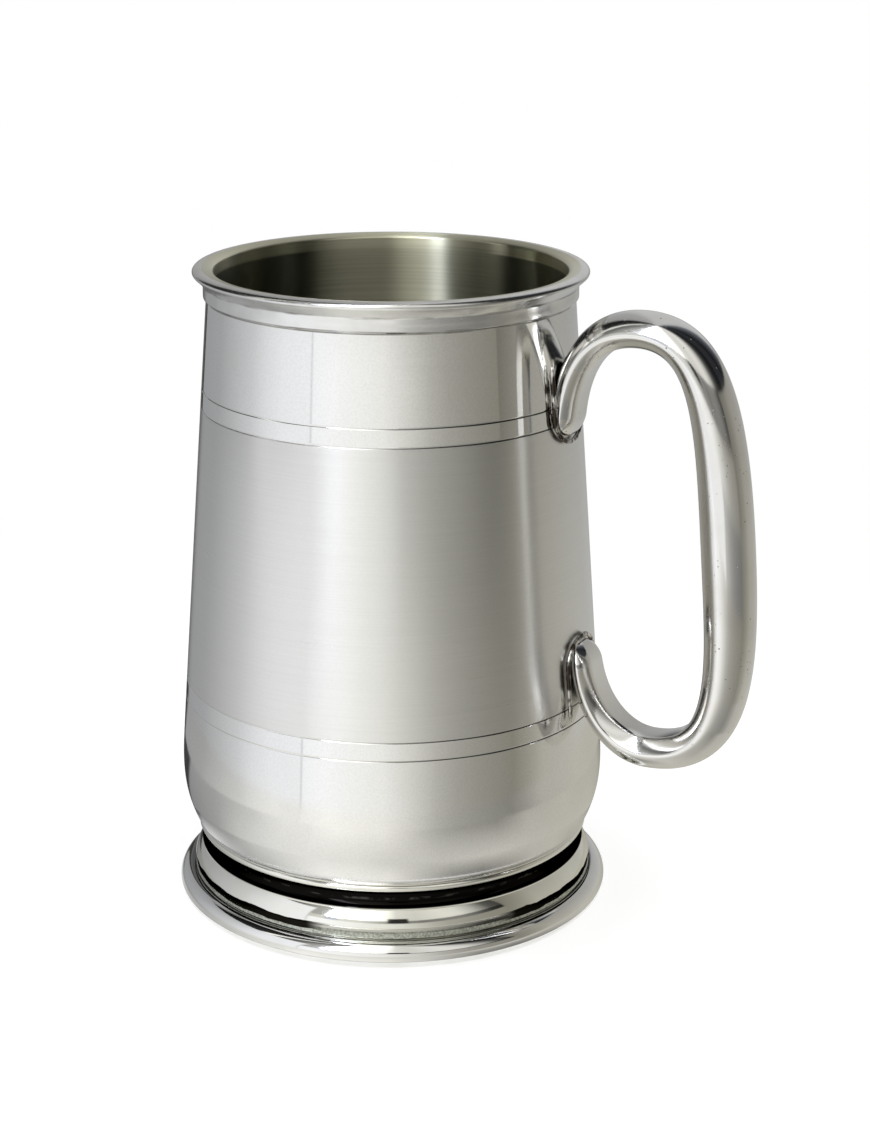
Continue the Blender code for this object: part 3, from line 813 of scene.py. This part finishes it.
def foot_pewter():
    """Mirror finish, with a speckled cove, a crease dark with painted shade, and a groove black with
    tarnish and painted shade.
    """
    nodes = metal("foot_pewter")
    height = nodes.height()
    edge = 0.0002
    groove = nodes.band(height, GROOVE_BASE_Z - edge / 2, NECK_RING_Z + edge, edge)
    cove = nodes.band(height, COVE_BASE_Z, FOOT_BEAD_BASE_Z, edge)
    crease = crease_painted_shade(nodes, height)
    grit = nodes.noise(2600.0, detail=2.0, roughness=0.6)
    specks = nodes.times(nodes.times(cove, nodes.step(grit, 0.40, 0.62)), 0.65)
    colour = clouded(nodes, 90.0, FOOT_METAL, FOOT_DARKER)
    colour = nodes.mix(cove, colour, COVE_METAL)
    colour = nodes.mix(specks, colour, COVE_SPECKS)
    # Painted shade: near black in the crease, and in the groove with tarnish and a painted glint
    colour = nodes.mix(crease, colour, CREASE_PAINTED_SHADE)
    colour = nodes.mix(groove, colour, groove_tarnish_shade_and_glint(nodes, height))
    # Painted shade: the crease and the groove reflect almost nothing
    sheen = nodes.mix(nodes.larger(crease, groove), FULL_SHEEN, PAINTED_SHADE_SHEEN)
    nodes.shade("Specular Tint", sheen)
    roughness = nodes.plus(ring_haze(nodes, 0.10), nodes.times(cove, 0.28))
    gritty = nodes.bump(nodes.times(grit, cove), 0.00002, ripple(nodes))
    pit = pits(nodes, spacing=0.0035, size=0.00012, share=0.3)
    return pitted(nodes, pit, 0.00005, colour, roughness, gritty)


def rim_pewter():
    """Buffed casting: grainy highlights, small pits, and patchy dark lines under the lip and at the hem.
    """
    nodes = metal("rim_pewter")
    height = nodes.height()
    grain = nodes.noise(1300.0, roughness=0.65)
    patchy = nodes.step(nodes.noise((130.0, 130.0, 500.0)), 0.40, 0.62)
    root_z = RIM_SEAT_Z - LIP_ROOT_DROP
    root = nodes.band(height, root_z - 0.0001, root_z + 0.0002, 0.0002)
    root = nodes.times(nodes.times(root, patchy), 0.55)
    hem = nodes.band(height, RIM_SKIRT_Z - 0.0002, RIM_SKIRT_Z + 0.0002, 0.00015)
    hem = nodes.times(hem, nodes.between(patchy, 0.12, 0.5))
    colour = clouded(nodes, (120.0, 120.0, 200.0), RIM_METAL, RIM_DARKER)
    # Darker in patchy lines under the lip and at the hem
    colour = nodes.mix(nodes.larger(root, hem), colour, RIM_DARK_LINES)
    roughness = nodes.between(grain, 0.14, 0.30)
    grainy = nodes.bump(grain, 0.000006)
    pit = pits(nodes, spacing=0.0028, size=0.00016, share=0.35)
    return pitted(nodes, pit, 0.00007, colour, roughness, grainy)


def wire_pewter():
    """The base bead's finish: mirror, with faint haze and a few pits."""
    nodes = metal("wire_pewter")
    colour = clouded(nodes, 90.0, POLISHED, WIRE_DARKER)
    pit = pits(nodes, spacing=0.0040, size=0.00012, share=0.3)
    return pitted(nodes, pit, 0.00005, colour, ring_haze(nodes, 0.10), ripple(nodes))


def handle_pewter():
    """Polished by hand, so fine lines run along it, with a few pits and patches of specks."""
    nodes = metal("handle_pewter")
    patch = nodes.step(nodes.noise(150.0), 0.44, 0.54)
    specks = nodes.times(pits(nodes, spacing=0.0008, size=0.00017, share=0.30), patch)
    pit = nodes.larger(pits(nodes, spacing=0.0030, size=0.00013, share=0.35), specks)
    lines = nodes.noise((90.0, 7000.0, 1.0), detail=4.0, space="UV")
    grain = nodes.noise(1500.0, detail=2.0, roughness=0.6)
    colour = clouded(nodes, 110.0, POLISHED, HANDLE_DARKER)
    smears = nodes.noise(110.0)
    roughness = nodes.plus(nodes.between(lines, 0.02, 0.10), nodes.between(smears, 0.02, 0.10))
    roughness = nodes.plus(roughness, nodes.between(grain, -0.02, 0.03))
    lined = nodes.bump(lines, 0.000003, ripple(nodes, 60.0, 0.00003))
    return pitted(nodes, pit, 0.00006, colour, roughness, lined)


def brushed_round(nodes, anisotropy):
    """Turned metal: its highlights spread across the turning, up and down the wall."""
    nodes.shade("Anisotropic", anisotropy)
    nodes.shade("Anisotropic Rotation", 0.25)
    tangent = nodes.add("Tangent", direction_type="RADIAL", axis="Z")
    nodes.shade("Tangent", tangent.outputs[0])


def scribed_line_darkening(nodes, height):
    """Darker in the four scribed lines, on the handle's side."""
    half = LINE_WIDTH * 0.35
    lines = 0.0
    for line_z in LINE_HEIGHTS:
        line = nodes.band(height, line_z - half, line_z + half, LINE_WIDTH * 0.15)
        lines = nodes.larger(lines, line)
    near_handle = nodes.step(nodes.towards(SCRIBED_DARK_SIDE), 0.20, 0.75)
    return nodes.times(lines, nodes.times(near_handle, 0.9))


def outer_pewter():
    """The drum's outside: mirror finish, with a band of satin between the inner scribed lines."""
    nodes = metal("outer_pewter")
    brushed_round(nodes, 0.8)
    height = nodes.height()
    edge = 0.0001
    above = nodes.step(height, SATIN_BASE_Z - edge, SATIN_BASE_Z + edge)
    below = nodes.step(height, SATIN_TOP_Z + edge, SATIN_TOP_Z - edge)
    satin = nodes.times(above, below)
    fine = nodes.noise((30.0, 30.0, 4200.0), roughness=0.65)
    coarse = nodes.noise((9.0, 9.0, 700.0), detail=2.0)
    streaks = nodes.plus(nodes.times(fine, 0.82), nodes.times(coarse, 0.18))
    satin_colour = nodes.mix(nodes.step(streaks, 0.3, 0.7), SATIN_METAL, SATIN_LIGHTER)
    mirror_colour = clouded(nodes, 70.0, POLISHED, POLISHED_DARKER)
    grain = nodes.noise(2300.0, detail=2.0, roughness=0.6)
    mottle = nodes.times(nodes.step(grain, 0.38, 0.64), 0.32)
    colour = nodes.mix(mottle, nodes.mix(satin, mirror_colour, satin_colour), DRUM_MOTTLE)
    # Darker in the scribed lines towards the handle's side
    colour = nodes.mix(scribed_line_darkening(nodes, height), colour, SCRIBED_LINE_DARK)
    haze = ring_haze(nodes, 0.11)
    more = nodes.math("SUBTRACT", nodes.between(streaks, 0.25, 0.33), haze)
    roughness = nodes.plus(haze, nodes.times(satin, more))
    brushed = nodes.bump(nodes.times(streaks, satin), 0.0000015)
    grainy = nodes.bump(grain, 0.000001, brushed)
    pit = pits(nodes, spacing=0.005, size=0.00011, share=0.25)
    return pitted(nodes, pit, 0.00005, colour, roughness, grainy)


def inner_pewter():
    """The finely turned inside: lit at the back, with painted shade elsewhere below the rim, and more
    painted shade low down.
    """
    nodes = metal("inner_pewter")
    brushed_round(nodes, 1.0)
    height = nodes.height()
    streaks = nodes.noise((12.0, 12.0, 2200.0), roughness=0.6)
    streak = nodes.step(streaks, 0.3, 0.7)
    # Painted shade: darker deeper down, and away from the back below the rim
    depth = nodes.step(height, RIM_TOP_Z - INSIDE_LIT_DEPTH, RIM_TOP_Z - INSIDE_SHADED_DEPTH)
    lit_colour = nodes.mix(depth, nodes.mix(streak, *INSIDE_LIT), nodes.mix(streak, *INSIDE_SHADED))
    shade_colour = nodes.mix(depth, INSIDE_PAINTED_SHADE, INSIDE_LOW_PAINTED_SHADE)
    off_back = nodes.step(nodes.towards(INSIDE_BACK), 0.89, 0.79)
    under_rim = nodes.step(height, RIM_SEAT_Z, RIM_SEAT_Z - 0.0006)
    colour = nodes.mix(nodes.times(off_back, under_rim), lit_colour, shade_colour)
    return finished(nodes, colour, nodes.between(streaks, 0.28, 0.35), nodes.bump(streaks, 0.000003))


def solder_metal():
    """Solder wiped smooth, with brown-black flux left in its hollows."""
    nodes = metal("solder_metal")
    lumps = nodes.noise((500.0, 500.0, 260.0), roughness=0.6)
    colour = nodes.mix(nodes.step(lumps, 0.44, 0.62), FLUX, SOLDER_METAL)
    return finished(nodes, colour, nodes.between(lumps, 0.35, 0.12), nodes.bump(lumps, 0.00003))


# Studio

# Tints of the panels
WHITE = (1.0, 1.0, 1.0)
PALE = (0.985, 1.0, 1.035)
SOFT = (1.0, 0.995, 0.955)
WARM = (1.0, 0.965, 0.82)
COOL = (0.93, 0.97, 1.12)
OLIVE = (1.0, 1.0, 0.96)
BRASSY = (1.0, 0.99, 0.94)

# Distances of the panels' edges from the drum's axis, and heights of the far ones
CONTACT = 0.0465
CONTACT_END = 0.060
NEAR_START = 0.11
NEAR = 0.15
FAR = 0.6
PAPER = 0.0004
WALL_TOP = 0.095
BAND_TOP = 0.12
MIDDLE_TOP = 0.30
UPPER_TOP = 1.0
CANOPY_HOLE = 0.02
CANOPY_TOP = 1.6
LENS_CARD_DISTANCE = 0.44
LENS_CARD_HEIGHTS = (0.17, 0.27)
LENS_CARD_AZIMUTHS = (170, 182)
PANEL_STEP = 3

# Strengths at azimuths in degrees clockwise from straight away from the camera, for the walls
LEFT = [(227.8, 1.06), (246, 1.0), (258, 0.88), (270, 0.70), (288, 0.54), (304, 0.42), (336, 0.34)]
FRONT = [(175, 0.87), (184, 1.01), (203, 1.10), (213, 1.15)]
FRONT_EDGE = [(226.2, 1.11), (226.6, 0.84), (227.6, 0.84)]
FALL_OFF = [(113, 0.28), (125, 0.32), (135, 0.36), (146, 0.43), (156, 0.54), (165, 0.70), (175, 0.87)]
RIGHT = [(-12, 0.10), (0, 0.10), (7, 0.50), (15, 0.55), (60, 0.57), (92, 0.50), (102, 0.38), (113, 0.28)]
REAR = [(341, 0.14), (350, 0.09), (362, 0.10), (368, 0.45), (375, 0.55)]
REAR_FLAG = [(336, 0.05), (341, 0.05)]
HIGH = [(113, 0.05), (150, 0.10), (175, 0.28), (190, 0.70), (213, 0.90), (227.6, 0.84)]

# And for the paper on the floor, dim behind the tankard
REAR_LEVEL = 0.12
REAR_START = [(-30, REAR_LEVEL), (-10, REAR_LEVEL)]
REAR_END = [(370, REAR_LEVEL), (390, REAR_LEVEL)]
REAR_LEFT = [(341, 0.05), (358, 0.05)]
FLOOR_FAR = [
    *REAR_START,
    *[(15, 0.50), (60, 0.57), (92, 0.50), (102, 0.38)],
    *FALL_OFF,
    *FRONT[1:],
    *[(227, 1.06), (229, 1.0)],
    *LEFT[1:],
    *REAR_LEFT,
    *REAR_END,
]
FLOOR_NEAR = [
    *REAR_START,
    *[(12, 0.42), (30, 0.54), (60, 0.58), (92, 0.60), (113, 0.64), (150, 0.64), (175, 0.76)],
    *[(200, 0.92), (227, 0.96), (250, 0.86), (275, 0.66), (296, 0.40), (320, 0.30), (336, 0.25)],
    *REAR_LEFT,
    *REAR_END,
]
# Round the foot: the floor as the metal shows it, with a painted contact shadow where the strengths are
# low
FLOOR_CONTACT = [
    *REAR_START,
    *[(10, 0.45), (40, 0.45), (60, 0.57), (80, 0.56), (100, 0.36), (120, 0.22), (140, 0.30)],
    *[(160, 0.62), (180, 1.0), (220, 1.1), (240, 0.85), (260, 0.62), (280, 0.50), (300, 0.60)],
    *[(320, 0.8), (345, 0.7)],
    *REAR_END,
]

# Overhead, each with a tint and how many times its strength its lowest band has
OVERHEAD_REAR = [(-40, 0.34), (0, 0.42), (12, 0.6), (36, 0.6), (46, 0.5)]
OVERHEAD_SHADE = [(46, 0.22), (58, 0.06), (72, 0.01), (80, 0.03), (96, 0.03), (100, 0.008), (112, 0.02)]
OVERHEAD_RIGHT = [(112, 0.02), (123, 0.11), (132, 0.52), (140, 0.82), (149, 0.92), (165, 0.78)]
OVERHEAD = (
    ("rear", WHITE, OVERHEAD_REAR, 1.0),
    ("rear_right", COOL, OVERHEAD_SHADE, 1.0),
    ("right", BRASSY, OVERHEAD_RIGHT, 0.28),
    ("front", BRASSY, [(165, 0.76), (178, 0.88)], 0.36),
    ("front_bright", OLIVE, [(178, 0.95), (188, 1.7), (196, 2.3), (208.5, 2.5)], 0.35),
    ("strip", COOL, [(208.5, 11.0), (216.5, 11.0)], 0.06),
    ("left_front", OLIVE, [(216.5, 0.50), (229, 0.38), (238, 0.18), (252.5, 0.12)], 1.6),
    ("slit", OLIVE, [(252.5, 1.1), (262, 1.1)], 0.8),
    ("left", OLIVE, [(262, 0.03), (300, 0.01), (320, 0.006)], 2.0),
)

# The white sweep that the tankard stands on
SWEEP_REACH = 6.0
SWEEP_GREY = (0.7, 0.7, 0.7)
SWEEP_LIFT = 0.56
SWEEP_FADE = (0.10, 0.30)
WORLD_LIGHT = 0.8


def photo_direction(azimuth):
    """A level direction, by its angle in degrees clockwise from straight away from the camera."""
    angle = math.radians(azimuth)
    ahead = Vector((-math.sin(HANDLE_TURN), math.cos(HANDLE_TURN), 0))
    right = Vector((math.cos(HANDLE_TURN), math.sin(HANDLE_TURN), 0))
    return ahead * math.cos(angle) + right * math.sin(angle)


def bare_material(name):
    """The nodes of a new material that has no shader yet."""
    nodes = Nodes(bpy.data.materials.new(name))
    nodes.tree.nodes.clear()
    return nodes


def surfaced(nodes, shader):
    """The material, with this shader as its surface."""
    nodes.add("OutputMaterial", shader)
    return nodes.block


def panel_glow(name):
    """A light of the colour and strength that the panel's points hold."""
    nodes = bare_material(name)
    points = nodes.add("Attribute", attribute_name="glow")
    return surfaced(nodes, nodes.add("Emission", points.outputs["Color"]).outputs[0])


def panel_columns(stops):
    """The stops, with more of them put between so that they lie about one panel step apart."""
    columns = []
    for start, end in zip(stops, stops[1:]):
        steps = max(1, round(abs(end[0] - start[0]) / PANEL_STEP))
        for step in range(steps + 1):
            share = step / steps
            columns.append([a + (b - a) * share for a, b in zip(start, end)])
    return columns


def add_panel(name, stops, start_edge, end_edge, tint, last_tint=None, mirror=DRUM_TOP_RADIUS):
    """A soft panel bent round the tankard, seen only by way of its reflections.

    Each stop is the azimuth of a level ray off the drum that meets the panel, with the strength at
    the panel's first edge and, where it differs, at its second. The edges are (distance from the
    axis, height). The tint changes from the first stop to the last where two are given.
    The mirror is the radius of the wall that the ray leaves, negative for the inside, and 0 where
    the azimuths are those of the panel itself.
    """
    columns = panel_columns(stops)
    first = columns[0][0]
    span = columns[-1][0] - first
    tint = Vector(tint)
    last_tint = Vector(last_tint or tint)
    centre = Vector((AXIS_X, 0, 0))
    points = []
    glows = []
    for azimuth, *levels in columns:
        half_turn = math.sin(math.radians((azimuth - 180) / 2))
        swing = math.degrees(math.asin(mirror / start_edge[0] * half_turn))
        direction = photo_direction(azimuth - swing)
        colour = tint.lerp(last_tint, (azimuth - first) / span)
        for (distance, height), level in ((start_edge, levels[0]), (end_edge, levels[-1])):
            points.append(centre + direction * distance + Vector((0, 0, height)))
            glows += [*(colour * level), 1.0]
    faces = [(2 * i, 2 * i + 2, 2 * i + 3, 2 * i + 1) for i in range(len(columns) - 1)]
    panel = new_object(name, points, faces)
    attribute = panel.data.attributes.new("glow", "FLOAT_COLOR", "POINT")
    attribute.data.foreach_set("color", glows)
    panel.data.materials.append(panel_glow(name))
    panel.visible_camera = False
    panel.visible_diffuse = False
    panel.visible_shadow = False


def seen(nodes):
    """1 for rays that show the background itself: from the camera, or by way of metal or glass."""
    rays = nodes.add("LightPath").outputs
    bounced = nodes.larger(rays["Is Glossy Ray"], rays["Is Transmission Ray"])
    return nodes.larger(rays["Is Camera Ray"], bounced)


def add_world():
    """A white surround, a little dimmer as a light than it looks."""
    world = bpy.data.worlds.new("white_studio")
    bpy.context.scene.world = world
    nodes = Nodes(world)
    background = nodes.tree.nodes["Background"]
    nodes.put(background.inputs["Color"], WHITE)
    nodes.put(background.inputs["Strength"], nodes.between(seen(nodes), WORLD_LIGHT, 1.0))


def sweep_paper():
    """Pale paper with soft shadows near the tankard, fading to plain white further off."""
    nodes = bare_material("sweep")
    paper = nodes.add("BsdfDiffuse", SWEEP_GREY).outputs[0]
    lift = nodes.add("Emission", WHITE, SWEEP_LIFT).outputs[0]
    near = nodes.add("AddShader", paper, lift).outputs[0]
    far = nodes.add("Emission", WHITE, 1.0).outputs[0]
    length = nodes.add("VectorMath", nodes.coordinates(), operation="LENGTH")
    fade = nodes.step(length.outputs["Value"], *SWEEP_FADE)
    shown = nodes.add("MixShader", fade, near, far).outputs[0]
    return surfaced(nodes, nodes.add("MixShader", seen(nodes), paper, shown).outputs[0])


def add_floor():
    reach = SWEEP_REACH
    corners = [(-reach, -reach, 0), (reach, -reach, 0), (reach, reach, 0), (-reach, reach, 0)]
    floor = new_object("sweep", corners, [(0, 1, 2, 3)])
    floor.data.materials.append(sweep_paper())
    floor.location = (AXIS_X, 0, 0)


def scaled(stops, first, second):
    """The same stops, with the strength at each edge this share of what it was."""
    return [(azimuth, level * first, level * second) for azimuth, level in stops]


def level_at(stops, azimuth):
    """The strength at this azimuth, between the stops on either side."""
    for (start, low), (end, high) in zip(stops, stops[1:]):
        if azimuth <= end:
            return low + (high - low) * max(0.0, azimuth - start) / (end - start)
    return stops[-1][1]


def between_rings(inner, outer, places):
    """Stops at these places' azimuths, from the inner ring's strengths to the outer ring's."""
    azimuths = sorted({azimuth for azimuth, _ in places})
    return [(azimuth, level_at(inner, azimuth), level_at(outer, azimuth)) for azimuth in azimuths]


def add_walls():
    """Panels round the tankard: a low part near it, and further off a wall with a band above it.

    Each has the height of its low part, then the share of its strength that is left at the top of
    that part and of the band. None keeps the low part even and ends the band in the high stops.
    """
    for name, stops, tints, foot_height, fade in (
        ("left_softbox", LEFT, (PALE, PALE), 0.11, 1.0),
        ("front_softbox", FRONT + FRONT_EDGE, (SOFT, PALE), 0.05, None),
        ("front_fall_off", FALL_OFF, (WARM, SOFT), 0.05, None),
        ("right_card", RIGHT, (PALE, WARM), 0.14, 0.65),
        ("rear_card", REAR, (PALE, WHITE), 0.11, 1.0),
        ("rear_flag", REAR_FLAG, (WARM, WARM), 0.11, 1.0),
    ):
        add_panel(name + "_low", scaled(stops, 1.0, fade or 1.0), (NEAR, 0.0), (NEAR, foot_height), *tints)
        add_panel(name, stops, (FAR, 0.0), (FAR, WALL_TOP), *tints)
        high = scaled(stops, 1.0, fade) if fade else between_rings(stops, HIGH, stops)
        add_panel(name + "_high", high, (FAR, WALL_TOP), (FAR, BAND_TOP), *tints)


def add_papers():
    """Level panels just over the floor, in rings, which the metal shows in place of the sweep; the ring
    round the foot holds a painted contact shadow.
    """
    rings = (
        ("contact_paper_and_shadow", FLOOR_CONTACT, FLOOR_NEAR, CONTACT, CONTACT_END),
        ("near_paper", FLOOR_NEAR, FLOOR_FAR, CONTACT_END, NEAR_START),
    )
    for name, inner, outer, start, end in rings:
        stops = between_rings(inner, outer, inner + outer)
        add_panel(name, stops, (start, PAPER), (end, PAPER), WARM, PALE)
    add_panel("far_paper", FLOOR_FAR, (NEAR_START, PAPER), (NEAR, PAPER), WARM, PALE)
    add_panel("outer_paper_right", scaled(RIGHT, 0.75, 0.75), (NEAR, PAPER), (FAR, PAPER), SOFT)
    add_panel("outer_paper", scaled(FALL_OFF, 0.8, 0.65), (NEAR, PAPER), (FAR, PAPER), SOFT)
    under = [(0, REAR_LEVEL), (360, REAR_LEVEL)]
    add_panel("rear_paper", under, (CONTACT, PAPER / 2), (NEAR, PAPER / 2), PALE, mirror=0.0)


def add_lens_card():
    """The dark of the camera itself, which the front of the tankard shows."""
    stops = [(azimuth, 0.02) for azimuth in LENS_CARD_AZIMUTHS]
    low, high = [(LENS_CARD_DISTANCE, height) for height in LENS_CARD_HEIGHTS]
    add_panel("camera_front", stops, low, high, WHITE)


def add_overheads():
    """Panels above the walls, up to a canopy with a small hole, set for the mirror of the inside."""
    for name, tint, stops, low_times in OVERHEAD:
        low = [(azimuth, level * low_times) for azimuth, level in stops]
        bands = (
            ("middle", low, (FAR, BAND_TOP), (FAR, MIDDLE_TOP)),
            ("upper", stops, (FAR, MIDDLE_TOP), (FAR, UPPER_TOP)),
            ("canopy", stops, (FAR, UPPER_TOP), (CANOPY_HOLE, CANOPY_TOP)),
        )
        for band, levels, low_edge, high_edge in bands:
            add_panel(f"{name}_{band}", levels, low_edge, high_edge, tint, mirror=-DRUM_BORE_TOP_RADIUS)


def add_camera():
    camera = bpy.data.objects.new("camera", bpy.data.cameras.new("camera"))
    camera.data.sensor_width = SENSOR_LONG_SIDE
    camera.data.lens = CAMERA_LENS
    bpy.context.scene.collection.objects.link(camera)
    ahead = photo_direction(0)
    right = photo_direction(90)
    camera.location = Vector((AXIS_X, 0, CAMERA_HEIGHT)) - ahead * CAMERA_SETBACK + right * CAMERA_SIDE
    look = ahead * math.cos(CAMERA_PITCH) - Vector((0, 0, math.sin(CAMERA_PITCH)))
    camera.rotation_mode = "QUATERNION"
    camera.rotation_quaternion = look.to_track_quat("-Z", "Y") @ Quaternion((0, 0, 1), CAMERA_ROLL)
    bpy.context.scene.camera = camera


# The tankard's pieces


def finish_piece(piece, material):
    piece.data.materials.clear()
    piece.data.materials.append(material)


def add_inside(piece, material, lowest):
    """The faces above this height that look at the axis take the inside's finish."""
    piece.data.materials.append(material)
    for face in piece.data.polygons:
        outward = Vector((face.center.x - AXIS_X, face.center.y)).normalized()
        if outward.dot(face.normal.xy) < INWARD_FACE and face.center.z > lowest:
            face.material_index = 1


def add_tankard():
    inside = inner_pewter()
    solder = solder_metal()
    for name, profile, node, material, slot, lined_from in (
        ("drum_wall", drum_profile(), "drum", outer_pewter(), "satin_pewter", DRUM_BASE_Z),
        ("rim", rim_mount_profile(), "rim_mount", rim_pewter(), "polished_pewter", RIM_SEAT_Z),
        ("foot_moulding", foot_ring_profile(), "foot_ring", foot_pewter(), "polished_pewter", None),
        ("foot_wire", base_bead_profile(), "base_bead", wire_pewter(), "polished_pewter", None),
        ("inside_floor", floor_disc_profile(), "floor_disc", inside, "dull_pewter", None),
    ):
        piece = add_turned(name, profile, node)
        finish_piece(piece, material)
        if lined_from is not None:
            add_inside(piece, inside, lined_from)
    finish_piece(add_handle(), handle_pewter())
    finish_piece(add_solder_run("upper_handle_solder", TIP_Z, 1), solder)
    finish_piece(add_solder_run("lower_handle_solder", HEEL_Z, -1), solder)
    for node in ("floor_solder_seam", "foot_solder_seam"):
        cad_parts[node].data.materials.clear()
        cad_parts[node].data.materials.append(solder)


add_tankard()
add_world()
add_floor()
add_walls()
add_papers()
add_lens_card()
add_overheads()
add_camera()
bpy.context.scene.view_settings.view_transform = "Standard"
